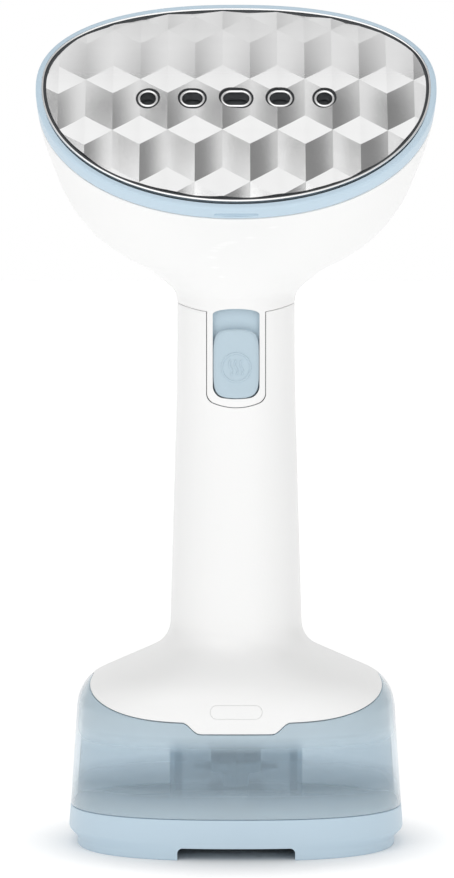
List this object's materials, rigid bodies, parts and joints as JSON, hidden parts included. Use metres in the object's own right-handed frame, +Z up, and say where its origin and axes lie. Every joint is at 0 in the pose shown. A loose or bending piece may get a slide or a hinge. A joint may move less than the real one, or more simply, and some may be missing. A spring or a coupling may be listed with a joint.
{
  "type": "handheld steamer",
  "caption": "Handheld garment steamer with a tilted faceted steam plate, slim handle with a front trigger, and a clear water tank that it stands on.",
  "frame": {"origin": "middle of the base's underside, on the surface that the steamer stands on", "axes": "+Z up the handle, -Y towards the front where the steam plate and the trigger face, +X to the viewer's right"},
  "size_m": [0.1404, 0.0969, 0.2982],
  "materials": {
    "white_plastic": "satin gloss white ABS",
    "blue_plastic": "satin light blue ABS",
    "clear_tank": "tinted clear polycarbonate",
    "plate_metal": "satin steel, faceted",
    "chrome_rim": "polished",
    "cast_alloy": "die cast",
    "dark_rubber": "matt",
    "clear_silicone": "translucent silicone",
    "grey_plastic": "moulded",
    "circuit_board": "solder mask",
    "copper_coil": "enamelled winding",
    "small_steel": "zinc plated"
  },
  "bodies": {
    "body": {"head_shell": "white_plastic", "handle_front_shell": "white_plastic", "handle_rear_shell": "white_plastic", "trigger_panel": "white_plastic", "base_plate": "white_plastic", "trim_ring": "blue_plastic", "trigger_guide": "blue_plastic", "steam_plate": "plate_metal", "steam_nozzle_1": "chrome_rim", "steam_nozzle_2": "chrome_rim", "steam_nozzle_3": "chrome_rim", "steam_nozzle_4": "chrome_rim", "steam_nozzle_5": "chrome_rim", "boiler_block": "cast_alloy", "heating_element": "cast_alloy", "plate_seal": "dark_rubber", "cord_gland": "dark_rubber", "micro_switch": "dark_rubber", "pump_mount_lower": "dark_rubber", "pump_mount_upper": "dark_rubber", "probe_seal": "dark_rubber", "boiler_gasket": "clear_silicone", "thermal_fuse": "clear_silicone", "inlet_hose": "clear_silicone", "outlet_hose": "clear_silicone", "thermostat": "grey_plastic", "boiler_bracket": "grey_plastic", "trigger_frame": "grey_plastic", "pump_body": "grey_plastic", "inlet_probe": "grey_plastic", "release_spring_seat": "grey_plastic", "control_board": "circuit_board", "pump_coil": "copper_coil", "bracket_screw_left": "small_steel", "bracket_screw_right": "small_steel", "handle_screw": "small_steel", "trigger_spring": "small_steel", "pump_spring": "small_steel", "base_screw_left": "small_steel", "base_screw_right": "small_steel", "tank_release_spring": "small_steel"},
    "trigger_carrier": {"trigger_carrier": "grey_plastic"},
    "trigger_button": {"trigger_button": "blue_plastic"},
    "switch_plunger": {"switch_plunger": "blue_plastic"},
    "pump_piston": {"pump_piston": "small_steel"},
    "tank_release_button": {"tank_release_button": "white_plastic"},
    "tank": {"tank_shell": "clear_tank", "tank_top": "clear_tank", "base_cap": "blue_plastic", "tank_seal": "clear_silicone", "tank_valve": "grey_plastic", "valve_spring": "small_steel", "pickup_tube": "clear_silicone", "pickup_filter": "grey_plastic", "fill_door_pin": "small_steel"},
    "valve_stem": {"valve_stem": "white_plastic"},
    "fill_door": {"fill_door": "blue_plastic"}
  },
  "joints": [
    {"name": "tank_slide", "type": "slide", "parent": "body", "child": "tank", "axis": [0, 0, -1], "range_m": [0, 0.07]},
    {"name": "fill_door_hinge", "type": "hinge", "parent": "tank", "child": "fill_door", "pos_m": [0, 0.0468, 0.0196], "axis": [-1, 0, 0], "range_deg": [0, 100]},
    {"name": "valve_stem_slide", "type": "slide", "parent": "tank", "child": "valve_stem", "axis": [0, 0, 1], "range_m": [0, 0.0018], "deforming": ["valve_spring"]},
    {"name": "trigger_press", "type": "slide", "parent": "body", "child": "trigger_carrier", "axis": [0, 1, 0], "range_m": [0, 0.0022], "stiffness_N_per_m": 1500, "springref_m": -0.0015, "deforming": ["trigger_spring"]},
    {"name": "trigger_lock", "type": "slide", "parent": "trigger_carrier", "child": "trigger_button", "axis": [0, 0, 1], "range_m": [0, 0.0045]},
    {"name": "switch_plunger_slide", "type": "slide", "parent": "body", "child": "switch_plunger", "axis": [0, 1, 0], "range_m": [0, 0.0007]},
    {"name": "pump_piston_slide", "type": "slide", "parent": "body", "child": "pump_piston", "axis": [0, 0, -1], "range_m": [0, 0.004], "stiffness_N_per_m": 300, "springref_m": -0.001, "deforming": ["pump_spring"]},
    {"name": "tank_release_press", "type": "slide", "parent": "body", "child": "tank_release_button", "axis": [0, 1, 0], "range_m": [0, 0.002], "stiffness_N_per_m": 900, "springref_m": -0.001, "deforming": ["tank_release_spring"]}
  ],
  "couplings": [
    {"joint": "valve_stem_slide", "follows": "tank_slide", "ratio": 0.024},
    {"joint": "switch_plunger_slide", "follows": "trigger_press", "ratio": 0.3}
  ]
}
